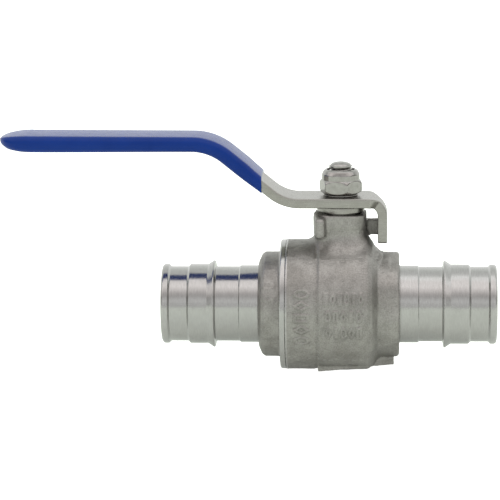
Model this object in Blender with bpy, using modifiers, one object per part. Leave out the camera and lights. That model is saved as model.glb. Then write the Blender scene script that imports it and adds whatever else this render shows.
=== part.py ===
"""Quarter-turn ball valve for 1 in expansion-joined plastic pipe, modelled as its separate pieces.

Frame: metres, +Z up.  The origin is the centre of the ball, where the pipe axis (X) meets the
stem axis (Z).  The outlet is at +X, the grip of the lever lies over the inlet at -X (valve open).
"""
import math

import bmesh
import bpy
from mathutils import Matrix, Vector

MM = 0.001
GAP = 0.3            # clearance left between pieces that touch on the real valve
COLLECTION = "water_shutoff_valve"

# ---- driving dimensions, in millimetres ------------------------------------------------------
PIPE_STEPS = 48      # facets round the pipe axis
STEM_STEPS = 32      # facets round the stem axis

BARREL_R = 22.3      # left barrel of the body
BAND_R = 22.8        # centre band of the body
BODY_LEFT = -18.6
BAND_LEFT, BAND_RIGHT = -7.5, 9.2
HUB_R = 18.0         # outlet hub and end cap hub
HUB_RIGHT = 20.0
HUB_FLAT = 17.15     # centre line to a wrench flat
HUB_FLAT_TURN = 10.0  # degrees from level to the first wrench flat
GROOVE_DEPTH = 0.35
PAD_LEFT = -7.6      # ground stump of the casting gate, under the band and the hub
PAD_SLOPE = 5.2      # degrees that its ground faces rise towards the outlet
PAD_WIDE_HALF, PAD_WIDE_RIGHT, PAD_WIDE_BOTTOM = 12.4, 9.8, -21.0
PAD_HALF, PAD_RIGHT, PAD_BOTTOM = 5.3, 18.3, -22.4

CAVITY_R = 17.0
THREAD_BORE_R = 18.3
THREAD_BORE_END = -11.9
PASSAGE_R = 10.3

CAP_LEFT = -27.95
RING_LEFT, RING_RIGHT = -20.45, -18.9
RING_R = 22.1
SPIGOT_R = 18.0
SPIGOT_END = -13.3

BALL_R = 16.0
BALL_BORE_R = 10.0
SLOT_BOTTOM = 12.5
SLOT_WIDTH = 5.6
VENT_R = 1.1

SEAT_OUTER_R = 15.2
SEAT_INNER_R = 10.5
SEAT_OUT = 15.2      # distance from the origin to a seat's back
SEAT_POCKET = SEAT_OUT + GAP

NIPPLE_BORE_R = 10.3
NIPPLE_PLAIN_R = 12.8
NIPPLE_LAND_R = 13.6
NIPPLE_SHANK_R = 13.2
NIPPLE_PEAK_R = 14.95
NIPPLE_LENGTH = 33.05
NIPPLE_SOCKET_R = NIPPLE_SHANK_R + GAP
INLET_SOCKET = 7.0   # how deep each nipple sits in its socket
OUTLET_SOCKET = 4.0

NECK_HALF = 8.8      # the neck is a rounded square, with flat sides
NECK_CORNER_R = 5.8
NECK_FLARE_R = 4.5
NECK_TOP = 32.0
CHAMBER_R = 7.25
CHAMBER_BOTTOM = 23.3
NECK_BORE_R = 5.1
POCKET_R = 6.8
POCKET_TOP = 20.8

SHAFT_R = 4.8
THREAD_R = 3.95
SHAFT_FLAT = 3.4     # stem axis to each flat of the double D
SHAFT_TOP = 37.9
STEM_TOP = 49.35
SHOULDER_R = 6.4
TANG_X, TANG_Y = 2.5, 4.75
O_RING_Z, O_RING_R, O_RING_WIRE = 22.05, 4.2, 0.6

PACKING_HEIGHT = 1.9
GLAND_R = 8.0
GLAND_BOTTOM, GLAND_STEP, GLAND_TOP = 30.2, 32.4, 34.6

LEVER_Z = 36.5       # middle of the strip at the stem
GRIP_Z = 56.08       # middle of the strip in the grip
STRIP = 3.2          # strip thickness
LEVER_HALF_WIDTH = 8.8
TAB_HALF_WIDTH = 4.8
TIP_X = -114.6
UPPER_BEND_X, UPPER_BEND_R = -43.6, 18.5
LOWER_BEND_X, LOWER_BEND_R = -19.1, 15.0
TAB_X, TAB_BEND_R = 14.2, 5.2
TAB_BOTTOM = 21.8
SLEEVE_WALL = 0.95
SLEEVE_CUT_X = -26.5

WASHER_R, WASHER_Z, WASHER_TOP = 5.9, 38.35, 38.75
NUT_ACROSS_FLATS = 13.0
NUT_TURN = 17.0      # degrees that its corners are turned from +Y
NUT_BOTTOM, NUT_HEX_TOP, NUT_TOP = 39.0, 43.6, 46.8
THREAD_HOLE_R = THREAD_R + GAP
INSERT_POCKET_R = 5.5


# ---- helpers ---------------------------------------------------------------------------------
def clear_scene():
    for obj in list(bpy.data.objects):
        bpy.data.objects.remove(obj, do_unlink=True)


def new_collection(name):
    collection = bpy.data.collections.new(name)
    bpy.context.scene.collection.children.link(collection)
    return collection


clear_scene()
PARTS = new_collection(COLLECTION)
TOOLS = new_collection("cutters")


def material(name, colour, roughness, metallic):
    result = bpy.data.materials.new(name)
    result.use_nodes = True
    shader = result.node_tree.nodes["Principled BSDF"]
    shader.inputs["Base Color"].default_value = (*colour, 1.0)
    shader.inputs["Roughness"].default_value = roughness
    shader.inputs["Metallic"].default_value = metallic
    result.diffuse_color = (*colour, 1.0)
    return result


def smooth(mesh, angle=35.0):
    mesh.shade_smooth()
    mesh.set_sharp_from_angle(angle=math.radians(angle))


def make_object(name, mesh, finish):
    """Put a mesh in the parts collection, or among the cutters when it has no finish."""
    obj = bpy.data.objects.new(name, mesh)
    if finish is None:
        TOOLS.objects.link(obj)
        obj.hide_render = True
        obj.display_type = "WIRE"
    else:
        PARTS.objects.link(obj)
        obj.data.materials.append(finish)
    return obj


def turned(name, profile, finish=None, steps=STEM_STEPS, along="Z"):
    """Turn a closed outline of (radius, height) points about its axis.

    Points with radius 0 are on the axis; an outline without them makes a ring.
    """
    area = sum(a[0] * b[1] - b[0] * a[1] for a, b in zip(profile, profile[1:] + profile[:1]))
    points = profile[::-1] if area > 0 else list(profile)
    solid = any(radius == 0 for radius, _ in points)
    if solid:
        first = next(i for i, p in enumerate(points) if p[0] == 0 and points[i - 1][0] == 0)
        points = points[first:] + points[:first]
    mesh = bpy.data.meshes.new(name)
    edges = [(i, i + 1) for i in range(len(points) - 1)]
    if not solid:
        edges.append((len(points) - 1, 0))
    mesh.from_pydata([(radius * MM, 0, height * MM) for radius, height in points], edges, [])
    obj = make_object(name, mesh, finish)
    screw = obj.modifiers.new("turn", "SCREW")
    screw.axis = "Z"
    screw.steps = screw.render_steps = steps
    screw.use_merge_vertices = True
    screw.merge_threshold = 0.00001
    screw.use_smooth_shade = True
    if along == "X":
        obj.rotation_euler = (0, math.radians(90), 0)
    return obj


def block(name, low, high, finish=None, slope=0.0, pivot=(0, 0, 0)):
    """A box between two corners, tipped about Y by `slope` degrees round `pivot`."""
    low, high = Vector(low) * MM, Vector(high) * MM
    mesh = bpy.data.meshes.new(name)
    bm = bmesh.new()
    bmesh.ops.create_cube(bm, size=1.0)
    bmesh.ops.scale(bm, vec=high - low, verts=bm.verts)
    bmesh.ops.translate(bm, vec=(low + high) / 2, verts=bm.verts)
    if slope:
        turn = Matrix.Rotation(math.radians(slope), 3, "Y")
        bmesh.ops.rotate(bm, cent=Vector(pivot) * MM, matrix=turn, verts=bm.verts)
    bm.to_mesh(mesh)
    bm.free()
    return make_object(name, mesh, finish)


def prism(name, sides, corner_radius, low, high, turn=0.0, along="Z", finish=None):
    """A regular prism or cylinder between two heights on the Z or the X axis."""
    mesh = bpy.data.meshes.new(name)
    bm = bmesh.new()
    bmesh.ops.create_cone(bm, cap_ends=True, segments=sides, radius1=corner_radius * MM,
                          radius2=corner_radius * MM, depth=(high - low) * MM)
    # create_cone puts its first corner on +Y
    bmesh.ops.rotate(bm, cent=(0, 0, 0), matrix=Matrix.Rotation(math.radians(turn), 3, "Z"),
                     verts=bm.verts)
    bmesh.ops.translate(bm, vec=(0, 0, (low + high) / 2 * MM), verts=bm.verts)
    if along == "X":
        bmesh.ops.rotate(bm, cent=(0, 0, 0), matrix=Matrix.Rotation(math.radians(90), 3, "Y"),
                         verts=bm.verts)
    bm.to_mesh(mesh)
    bm.free()
    return make_object(name, mesh, finish)


def outline_solid(name, outline, half_thickness, upright=False, finish=None):
    """Fill a flat outline and give it thickness: along Z, or along Y when it stands upright."""
    curve = bpy.data.curves.new(name, "CURVE")
    curve.dimensions = "2D"
    curve.fill_mode = "BOTH"
    curve.extrude = half_thickness * MM
    spline = curve.splines.new("POLY")
    spline.points.add(len(outline) - 1)
    for point, (u, v) in zip(spline.points, outline):
        point.co = (u * MM, v * MM, 0, 1)
    spline.use_cyclic_u = True
    source = bpy.data.objects.new(name, curve)
    bpy.context.scene.collection.objects.link(source)
    if upright:
        source.rotation_euler = (math.radians(90), 0, 0)
    bpy.context.view_layer.update()
    evaluated = source.evaluated_get(bpy.context.evaluated_depsgraph_get())
    mesh = bpy.data.meshes.new_from_object(evaluated)
    placing = source.matrix_world.copy()
    bpy.data.objects.remove(source, do_unlink=True)
    bm = bmesh.new()
    bm.from_mesh(mesh)
    bmesh.ops.remove_doubles(bm, verts=bm.verts, dist=0.000001)
    bm.to_mesh(mesh)
    bm.free()
    mesh.name = name
    obj = make_object(name, mesh, finish)
    obj.matrix_world = placing
    return obj


def boolean(target, tools, operation):
    for tool in tools:
        modifier = target.modifiers.new(f"{operation.lower()} {tool.name}", "BOOLEAN")
        modifier.operation = operation
        modifier.object = tool


def cut(target, *tools):
    boolean(target, tools, "DIFFERENCE")


def join(target, *tools):
    boolean(target, tools, "UNION")


def keep_common(target, *tools):
    boolean(target, tools, "INTERSECT")


def arc(centre, radius, start, end, count):
    """Points on an arc, angles in degrees from the first axis."""
    angles = [math.radians(start + (end - start) * i / count) for i in range(count + 1)]
    return [(centre[0] + radius * math.cos(a), centre[1] + radius * math.sin(a)) for a in angles]


def ring_profile(inner, outer, low, high):
    return [(inner, low), (outer, low), (outer, high), (inner, high)]


# ---- finishes --------------------------------------------------------------------------------
CAST_STEEL = material("cast_steel", (0.27, 0.262, 0.245), 0.48, 1.0)
TURNED_STEEL = material("turned_steel", (0.56, 0.55, 0.52), 0.26, 1.0)
STRIP_STEEL = material("strip_steel", (0.5, 0.49, 0.46), 0.32, 1.0)
FASTENER_STEEL = material("fastener_steel", (0.58, 0.57, 0.55), 0.2, 1.0)
BLUE_VINYL = material("blue_vinyl", (0.02, 0.06, 0.3), 0.28, 0.0)
PTFE = material("ptfe", (0.85, 0.85, 0.83), 0.5, 0.0)
NYLON = material("nylon", (0.7, 0.7, 0.66), 0.45, 0.0)
RUBBER = material("rubber", (0.02, 0.02, 0.02), 0.6, 0.0)


# ---- body ------------------------------------------------------------------------------------
def barrel_profile():
    """Outside of the barrel and the centre band, as a solid on the pipe axis."""
    concave = arc((BAND_RIGHT + 4.2, BAND_R - 0.9), 3.8, 190, 262, 4)
    return [
        (0, BODY_LEFT), (BARREL_R - 0.6, BODY_LEFT), (BARREL_R, BODY_LEFT + 0.6),
        (BARREL_R, BAND_LEFT - 0.8), (BARREL_R - GROOVE_DEPTH, BAND_LEFT - 0.5),
        (BARREL_R - GROOVE_DEPTH, BAND_LEFT - 0.2), (BAND_R, BAND_LEFT + 0.5),
        (BAND_R, BAND_RIGHT - 0.9), (BAND_R - 0.4, BAND_RIGHT),
        *[(radius, along) for along, radius in concave],
        (HUB_R - 0.8, BAND_RIGHT + 5.4), (0, BAND_RIGHT + 5.4),
    ]


def hub_solid():
    """Outlet hub: a round collar with six flats for a wrench."""
    edge = 1.3
    rounded = [(radius, along) for along, radius in
               arc((HUB_RIGHT - edge, HUB_R - edge), edge, 90, 0, 4)]
    hub = turned("hub_solid", [(0, 8.0), (HUB_R, 8.0), *rounded, (0, HUB_RIGHT)],
                 steps=PIPE_STEPS, along="X")
    corner = HUB_FLAT / math.cos(math.radians(30))
    flats = prism("hub_flats", 6, corner, 7.0, HUB_RIGHT + 1, turn=30 - HUB_FLAT_TURN, along="X")
    keep_common(hub, flats)
    return hub


def neck_solid():
    """The neck that carries the stem: a rounded square that flares out into the band."""
    inner = NECK_HALF - NECK_CORNER_R
    outline = []
    for corner, start in enumerate((0, 90, 180, 270)):
        x = inner if corner in (0, 3) else -inner
        y = inner if corner in (0, 1) else -inner
        outline += arc((x, y), NECK_CORNER_R, start, start + 90, 4)
    neck = outline_solid("neck_solid", outline, NECK_TOP / 2)
    neck.location.z = NECK_TOP / 2 * MM
    return neck


def flare_solid():
    """The fillet between the neck and the band, turned about the stem axis."""
    foot = NECK_HALF - 0.4 + NECK_FLARE_R
    flare = arc((foot, 23.4), NECK_FLARE_R, 180, 262, 6)
    return turned("neck_flare", [(0, 23.4), *flare, (foot - 0.3, 12.0), (0, 12.0)])


def gate_pads():
    """Stump of the casting gate: a wide part under the band, a narrow one out to the hub."""
    wide = block("gate_pad_wide", (PAD_LEFT, -PAD_WIDE_HALF, PAD_WIDE_BOTTOM),
                 (PAD_WIDE_RIGHT, PAD_WIDE_HALF, -16), slope=-PAD_SLOPE,
                 pivot=(PAD_LEFT, 0, PAD_WIDE_BOTTOM))
    narrow = block("gate_pad_narrow", (PAD_LEFT, -PAD_HALF, PAD_BOTTOM), (PAD_RIGHT, PAD_HALF, -14),
                   slope=-PAD_SLOPE, pivot=(PAD_LEFT, 0, PAD_BOTTOM))
    return wide, narrow


def pad_grinding():
    """Everything below the ground face of the gate stump."""
    return block("pad_grinding", (PAD_LEFT, -15, PAD_BOTTOM - 6), (34, 15, PAD_BOTTOM),
                 slope=-PAD_SLOPE, pivot=(PAD_LEFT, 0, PAD_BOTTOM))


def body_bore():
    """All the space inside the body along the pipe axis, as one turned cutter."""
    return turned("body_bore", [
        (0, BODY_LEFT - 1), (THREAD_BORE_R, BODY_LEFT - 1), (THREAD_BORE_R, THREAD_BORE_END),
        (CAVITY_R, THREAD_BORE_END), (CAVITY_R, 5.0), (SEAT_OUTER_R + GAP, 10.2),
        (SEAT_OUTER_R + GAP, SEAT_POCKET), (PASSAGE_R, SEAT_POCKET),
        (PASSAGE_R, HUB_RIGHT - OUTLET_SOCKET - GAP),
        (NIPPLE_SOCKET_R, HUB_RIGHT - OUTLET_SOCKET - GAP),
        (NIPPLE_SOCKET_R, HUB_RIGHT + 1), (0, HUB_RIGHT + 1)], steps=PIPE_STEPS, along="X")


def stem_bore():
    """The stepped hole for the stem, from the ball chamber up through the neck."""
    return turned("stem_bore", [
        (0, 8.0), (POCKET_R, 8.0), (POCKET_R, POCKET_TOP), (NECK_BORE_R, POCKET_TOP),
        (NECK_BORE_R, CHAMBER_BOTTOM), (CHAMBER_R, CHAMBER_BOTTOM), (CHAMBER_R, NECK_TOP + 1),
        (0, NECK_TOP + 1)])


def make_body():
    body = turned("body", barrel_profile(), CAST_STEEL, steps=PIPE_STEPS, along="X")
    open_stop = block("open_stop_lug", (4, 5.1, 23.3), (15.0, 8.4, 28.6))
    closed_stop = block("closed_stop_lug", (-8.5, -14.4, 25.6), (-5.1, -1, NECK_TOP - 0.1))
    join(body, hub_solid())
    cut(body, pad_grinding())
    join(body, *gate_pads(), neck_solid(), flare_solid(), open_stop, closed_stop)
    cut(body, body_bore(), stem_bore())


def make_end_cap():
    """The second half of the body: hub, machined ring, spigot with the inlet seat's pocket."""
    turned("end_cap", [
        (NIPPLE_SOCKET_R, CAP_LEFT), (14.2, CAP_LEFT), (16.6, CAP_LEFT + 0.9),
        (HUB_R, CAP_LEFT + 2.3), (HUB_R, RING_LEFT - 0.5), (HUB_R + 0.3, RING_LEFT),
        (RING_R - 1.5, RING_LEFT), (RING_R - 0.6, RING_LEFT + 0.3), (RING_R, RING_LEFT + 1.1),
        (RING_R, RING_RIGHT), (SPIGOT_R, RING_RIGHT), (SPIGOT_R, SPIGOT_END),
        (SEAT_OUTER_R + GAP, SPIGOT_END), (SEAT_OUTER_R + GAP, -SEAT_POCKET),
        (PASSAGE_R, -SEAT_POCKET), (PASSAGE_R, CAP_LEFT + INLET_SOCKET + GAP),
        (NIPPLE_SOCKET_R, CAP_LEFT + INLET_SOCKET + GAP)],
        CAST_STEEL, steps=PIPE_STEPS, along="X")


def nipple_outline(socket):
    """(radius, distance from the shoulder) round one barbed nipple, socket end first."""
    nose = arc((NIPPLE_LENGTH - 1.5, NIPPLE_LAND_R - 1.5), 1.5, 90, 0, 4)
    return [
        (NIPPLE_BORE_R, -socket), (NIPPLE_SHANK_R, -socket), (NIPPLE_SHANK_R, 6.2),
        (NIPPLE_PLAIN_R, 6.6), (NIPPLE_PLAIN_R, 14.6), (NIPPLE_PEAK_R - 0.3, 14.9),
        (NIPPLE_PEAK_R, 15.3), (NIPPLE_LAND_R, 17.4), (NIPPLE_LAND_R, 23.5),
        (NIPPLE_PLAIN_R, 24.2), (NIPPLE_PLAIN_R, 30.1), (NIPPLE_LAND_R, 30.7),
        *[(radius, along) for along, radius in nose],
        (NIPPLE_BORE_R + 0.6, NIPPLE_LENGTH), (NIPPLE_BORE_R, NIPPLE_LENGTH - 0.8)]


def make_nipples():
    for name, shoulder, side, socket in (("inlet_barb", CAP_LEFT, -1, INLET_SOCKET),
                                         ("outlet_barb", HUB_RIGHT, 1, OUTLET_SOCKET)):
        outline = [(radius, shoulder + side * along) for radius, along in nipple_outline(socket)]
        turned(name, outline, TURNED_STEEL, steps=40, along="X")


def make_body_gasket():
    turned("body_gasket", ring_profile(CAVITY_R + 0.25, THREAD_BORE_R - GAP,
                                       SPIGOT_END + GAP, THREAD_BORE_END - GAP),
           PTFE, along="X")


# ---- ball and seats --------------------------------------------------------------------------
def make_ball():
    mesh = bpy.data.meshes.new("ball")
    bm = bmesh.new()
    bmesh.ops.create_uvsphere(bm, u_segments=40, v_segments=20, radius=BALL_R * MM)
    bm.to_mesh(mesh)
    bm.free()
    smooth(mesh)
    ball = make_object("ball", mesh, TURNED_STEEL)
    half = SLOT_WIDTH / 2
    cut(ball, prism("ball_bore", 40, BALL_BORE_R, -20, 20, along="X"),
        block("ball_slot", (-half, -20, SLOT_BOTTOM), (half, 20, 20)),
        prism("ball_vent", 10, VENT_R, 5, 14))


def make_seats():
    """Each seat has a face that follows the ball."""
    face_r = BALL_R + GAP
    start = math.degrees(math.asin(SEAT_INNER_R / face_r))
    face = arc((0, 0), face_r, start, start + 12, 4)     # (along the pipe, radius)
    front = face[-1][0]
    for name, side in (("inlet_seat", -1), ("outlet_seat", 1)):
        outline = [(SEAT_INNER_R, SEAT_OUT), *[(radius, along) for along, radius in face],
                   (SEAT_OUTER_R, front), (SEAT_OUTER_R, SEAT_OUT)]
        turned(name, [(radius, side * along) for radius, along in outline], PTFE, along="X")


# ---- stem and its packing --------------------------------------------------------------------
def make_stem():
    floor_r = O_RING_R - O_RING_WIRE - GAP
    half = O_RING_WIRE + GAP
    stem = turned("stem", [
        (0, 16.4), (SHOULDER_R, 16.4), (SHOULDER_R, 19.0), (SHAFT_R, 19.0),
        (SHAFT_R, O_RING_Z - half), (floor_r, O_RING_Z - half), (floor_r, O_RING_Z + half),
        (SHAFT_R, O_RING_Z + half), (SHAFT_R, SHAFT_TOP), (THREAD_R, SHAFT_TOP + 0.4),
        (THREAD_R, STEM_TOP - 1.3), (THREAD_R - 0.9, STEM_TOP - 0.4),
        (THREAD_R - 2.2, STEM_TOP), (0, STEM_TOP)], FASTENER_STEEL)
    join(stem, block("stem_tang", (-TANG_X, -TANG_Y, 12.8), (TANG_X, TANG_Y, 17.5)))
    for name, low, high in (("stem_flat_front", -9, -SHAFT_FLAT), ("stem_flat_rear", SHAFT_FLAT, 9)):
        cut(stem, block(name, (-9, low, GLAND_TOP - 0.2), (9, high, SHAFT_TOP + 0.2)))


def make_stem_seals():
    turned("thrust_washer", ring_profile(SHAFT_R + GAP, SHOULDER_R, 19.3, POCKET_TOP - GAP), PTFE)
    wire = arc((O_RING_R, O_RING_Z), O_RING_WIRE, 0, 315, 7)
    turned("stem_o_ring", wire, RUBBER)
    first = CHAMBER_BOTTOM + GAP
    for index, name in enumerate(("packing_ring_lower", "packing_ring_middle",
                                  "packing_ring_upper")):
        low = first + index * (PACKING_HEIGHT + GAP)
        turned(name, ring_profile(SHAFT_R + GAP, CHAMBER_R - GAP, low, low + PACKING_HEIGHT), PTFE)
    turned("gland_ring", [
        (SHAFT_R + GAP, GLAND_BOTTOM), (CHAMBER_R - GAP, GLAND_BOTTOM),
        (CHAMBER_R - GAP, GLAND_STEP), (GLAND_R, GLAND_STEP), (GLAND_R, GLAND_TOP - 0.3),
        (GLAND_R - 0.3, GLAND_TOP), (SHAFT_R + GAP, GLAND_TOP)], TURNED_STEEL)


# ---- lever and grip --------------------------------------------------------------------------
def filleted_path(corners, radii, counts):
    """A polyline whose inner corners are replaced by arcs."""
    points = [Vector(corners[0])]
    for i in range(1, len(corners) - 1):
        corner = Vector(corners[i])
        before = (Vector(corners[i - 1]) - corner).normalized()
        after = (Vector(corners[i + 1]) - corner).normalized()
        half = before.angle(after) / 2
        reach = radii[i - 1] / math.tan(half)
        centre = corner + (before + after).normalized() * radii[i - 1] / math.sin(half)
        first, last = corner + before * reach - centre, corner + after * reach - centre
        sweep = first.angle_signed(last)
        for k in range(counts[i - 1] + 1):
            turn = Matrix.Rotation(-sweep * k / counts[i - 1], 2)
            points.append(centre + turn @ first)
    points.append(Vector(corners[-1]))
    return points


def strip_outline(path, half):
    """Both sides of a path, `half` away from it, as one closed outline."""
    sides = ([], [])
    for i, point in enumerate(path):
        directions = []
        if i > 0:
            directions.append((point - path[i - 1]).normalized())
        if i < len(path) - 1:
            directions.append((path[i + 1] - point).normalized())
        tangent = sum(directions, Vector((0, 0))).normalized()
        normal = Vector((-tangent.y, tangent.x)) / tangent.dot(directions[0])
        sides[0].append(point + normal * half)
        sides[1].append(point - normal * half)
    return [tuple(p) for p in sides[0]] + [tuple(p) for p in reversed(sides[1])]


def plan_outline(tip_x, half_width, end_x, tab_half_width=None):
    """Seen from above: a round tip, straight sides and, for the lever, a narrower tail."""
    tip = arc((tip_x + half_width, 0), half_width, 90, 270, 14)
    if tab_half_width is None:
        return [*tip, (end_x, -half_width), (end_x, half_width)]
    return [*tip, (10.4, -half_width), (11.9, -half_width + 1.3), (12.5, -tab_half_width),
            (end_x, -tab_half_width), (end_x, tab_half_width), (12.5, tab_half_width),
            (11.9, half_width - 1.3), (10.4, half_width)]


def make_lever():
    corners = [(TIP_X - 5, GRIP_Z), (UPPER_BEND_X, GRIP_Z), (LOWER_BEND_X, LEVER_Z),
               (TAB_X, LEVER_Z), (TAB_X, TAB_BOTTOM)]
    path = filleted_path(corners, (UPPER_BEND_R, LOWER_BEND_R, TAB_BEND_R), (6, 6, 6))
    lever = outline_solid("lever", strip_outline(path, STRIP / 2), LEVER_HALF_WIDTH + 1,
                          upright=True, finish=STRIP_STEEL)
    plan = outline_solid("lever_plan", plan_outline(TIP_X, LEVER_HALF_WIDTH, 20, TAB_HALF_WIDTH), 80)
    keep_common(lever, plan)
    hole = prism("lever_hole", 32, SHAFT_R + GAP, 30, 40)
    flat = SHAFT_FLAT + GAP
    keep_common(hole, block("lever_hole_flats", (-9, -flat, 29), (9, flat, 41)))
    cut(lever, hole)


def sleeve_solid(name, grow, start_x, end_point, finish=None):
    """The lever's long end, larger by `grow` all round, up to an upright cut."""
    corners = [(start_x, GRIP_Z), (UPPER_BEND_X, GRIP_Z), end_point]
    path = filleted_path(corners, (UPPER_BEND_R,), (6,))
    solid = outline_solid(name, strip_outline(path, STRIP / 2 + grow),
                          LEVER_HALF_WIDTH + grow + 1, upright=True, finish=finish)
    plan = outline_solid(name + "_plan",
                         plan_outline(TIP_X - grow, LEVER_HALF_WIDTH + grow, 0), 80)
    keep_common(solid, plan)
    return solid


def make_grip_sleeve():
    slope = (GRIP_Z - LEVER_Z) / (UPPER_BEND_X - LOWER_BEND_X)
    beyond = [(x, LEVER_Z + slope * (x - LOWER_BEND_X))
              for x in (SLEEVE_CUT_X + 6, SLEEVE_CUT_X + 8)]
    sleeve = sleeve_solid("grip_sleeve", GAP + SLEEVE_WALL, TIP_X - 5, beyond[0], BLUE_VINYL)
    hollow = sleeve_solid("sleeve_hollow", GAP, TIP_X - 5, beyond[1])
    cut(sleeve, hollow, block("sleeve_end", (SLEEVE_CUT_X, -15, 20), (0, 15, 60)))


# ---- nut and washer --------------------------------------------------------------------------
def make_fasteners():
    washer = turned("spring_washer", ring_profile(THREAD_HOLE_R, WASHER_R, WASHER_Z, WASHER_TOP),
                    FASTENER_STEEL)
    cut(washer, block("washer_split", (2, -0.5, 37), (8, 0.5, 40)))

    corner = NUT_ACROSS_FLATS / 2 / math.cos(math.radians(30))
    nut = turned("lock_nut", [
        (THREAD_HOLE_R, NUT_BOTTOM), (corner - 0.7, NUT_BOTTOM), (corner + 0.1, NUT_BOTTOM + 0.5),
        (corner + 0.1, NUT_HEX_TOP - 0.6), (6.2, NUT_HEX_TOP), (6.1, NUT_TOP - 0.9),
        (5.7, NUT_TOP - 0.2), (5.0, NUT_TOP), (4.6, NUT_TOP - 0.2), (INSERT_POCKET_R, NUT_TOP - 0.5),
        (INSERT_POCKET_R, NUT_HEX_TOP), (THREAD_HOLE_R, NUT_HEX_TOP)], FASTENER_STEEL)
    keep_common(nut, prism("nut_hexagon", 6, corner, NUT_BOTTOM - 1, NUT_TOP + 1, turn=NUT_TURN))
    turned("nut_insert", ring_profile(THREAD_HOLE_R, INSERT_POCKET_R - GAP,
                                      NUT_HEX_TOP + GAP, NUT_TOP - 0.8), NYLON)


def pivot_on_stem(*names):
    """Parent the pieces that turn with the lever to an empty on the stem axis."""
    pivot = bpy.data.objects.new("handle_pivot", None)
    PARTS.objects.link(pivot)
    for name in names:
        bpy.data.objects[name].parent = pivot


make_body()
make_end_cap()
make_nipples()
make_body_gasket()
make_ball()
make_seats()
make_stem()
make_stem_seals()
make_lever()
make_grip_sleeve()
make_fasteners()
pivot_on_stem("stem", "gland_ring", "lever", "grip_sleeve", "spring_washer", "lock_nut",
              "nut_insert")
bpy.context.view_layer.update()
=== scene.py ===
"""Visual model of the water shutoff valve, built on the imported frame.

Lengths are in millimetres until a mesh is made; X is the pipe axis, Z the stem axis, and the
origin is the centre of the ball.
"""
import math

import bmesh
import bpy
import numpy as np
from mathutils import Matrix, Vector


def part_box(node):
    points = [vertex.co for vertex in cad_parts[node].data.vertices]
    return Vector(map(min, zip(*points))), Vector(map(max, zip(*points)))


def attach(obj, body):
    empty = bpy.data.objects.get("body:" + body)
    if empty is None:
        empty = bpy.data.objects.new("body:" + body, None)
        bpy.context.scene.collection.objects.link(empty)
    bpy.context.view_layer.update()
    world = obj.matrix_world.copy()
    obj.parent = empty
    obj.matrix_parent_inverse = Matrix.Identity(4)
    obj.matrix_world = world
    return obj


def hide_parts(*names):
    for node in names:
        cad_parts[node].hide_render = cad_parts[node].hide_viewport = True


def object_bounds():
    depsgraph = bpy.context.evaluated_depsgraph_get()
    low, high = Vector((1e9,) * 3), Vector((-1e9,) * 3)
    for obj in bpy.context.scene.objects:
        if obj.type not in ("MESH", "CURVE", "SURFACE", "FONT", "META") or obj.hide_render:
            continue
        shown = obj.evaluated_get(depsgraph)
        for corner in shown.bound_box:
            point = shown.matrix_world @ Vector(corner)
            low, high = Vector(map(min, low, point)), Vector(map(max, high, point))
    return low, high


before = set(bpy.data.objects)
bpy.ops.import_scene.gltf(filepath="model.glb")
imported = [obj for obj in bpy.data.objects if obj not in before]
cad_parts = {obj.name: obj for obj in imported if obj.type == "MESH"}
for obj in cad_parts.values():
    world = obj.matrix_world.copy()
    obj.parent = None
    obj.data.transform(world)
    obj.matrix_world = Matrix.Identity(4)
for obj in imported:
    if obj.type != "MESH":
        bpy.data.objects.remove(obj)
CAD_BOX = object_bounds()
MM = 0.001


def span(node):
    """Lowest and highest corner of a CAD node, in millimetres."""
    low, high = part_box(node)
    return Vector(low) / MM, Vector(high) / MM


# ---- driving dimensions, in millimetres ------------------------------------------------------
BODY_LOW, BODY_HIGH = span("body")
CAP_LOW, CAP_HIGH = span("end_cap")
NECK_TOP = BODY_HIGH.z
BARREL_R, BAND_R = 22.25, 22.7
BAND_LEFT, BAND_RIGHT = -7.5, 9.2
GROOVE = 0.3
HUB_R, HUB_FLAT, HUB_FLAT_TURN = 18.0, 17.15, math.radians(10)
HUB_RIGHT = BODY_HIGH.x
NECK_HALF, NECK_CORNER_R, NECK_BLEND, NECK_ROOT = 8.8, 5.8, 4.2, 12.0
APRON_R, APRON_TOP, APRON_LOW = 9.0, 26.5, 19.0
OPEN_STOP = ((3.0, 5.1, 23.0), (15.0, 8.4, 28.6))
CLOSED_STOP = ((-8.5, -14.4, 25.0), (-5.1, -1.0, NECK_TOP - 0.1))
PAD_LEFT, PAD_SLOPE = -7.6, math.radians(5.2)
PAD_WIDE = ((PAD_LEFT, -12.4, -21.0), (9.8, 12.4, -15.0))
PAD_NARROW = ((PAD_LEFT, -5.3, -22.4), (18.3, 5.3, -14.0))

CAVITY_R, THREAD_BORE_R, THREAD_BORE_END, PASSAGE_R = 17.0, 18.3, -11.9, 10.3
SEAT_POCKET_R, SEAT_POCKET = 15.5, 15.5
OUTLET_SOCKET, INLET_SOCKET = 4.3, 7.3
SOCKET_R = 13.5
CHAMBER_R, CHAMBER_BOTTOM = 7.25, 23.3
NECK_BORE_R, POCKET_R, POCKET_TOP = 5.1, 6.8, 20.8

RING_LEFT, RING_RIGHT, RING_R = -20.45, BODY_LOW.x - 0.01, 22.1
RIM_RIGHT = -17.8
SPIGOT_R = 18.0

BALL_R, BALL_BORE_R, SLOT_BOTTOM, SLOT_HALF, VENT_R = 16.0, 10.0, 12.5, 2.8, 1.1
SEAT_INNER_R, SEAT_OUTER_R, SEAT_FACE_R = 10.5, 15.2, 16.3

NIPPLE_PLAIN_R, NIPPLE_LAND_R, NIPPLE_SHANK_R, NIPPLE_PEAK_R = 12.8, 13.6, 13.2, 14.95

SHAFT_R, THREAD_R, THREAD_PITCH, SHAFT_FLAT = 4.8, 3.95, 1.25, 3.4
SHOULDER_R = 6.4
WIRE_R, O_RING_R = 0.6, 4.2
HOLE_R = 5.1

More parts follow.
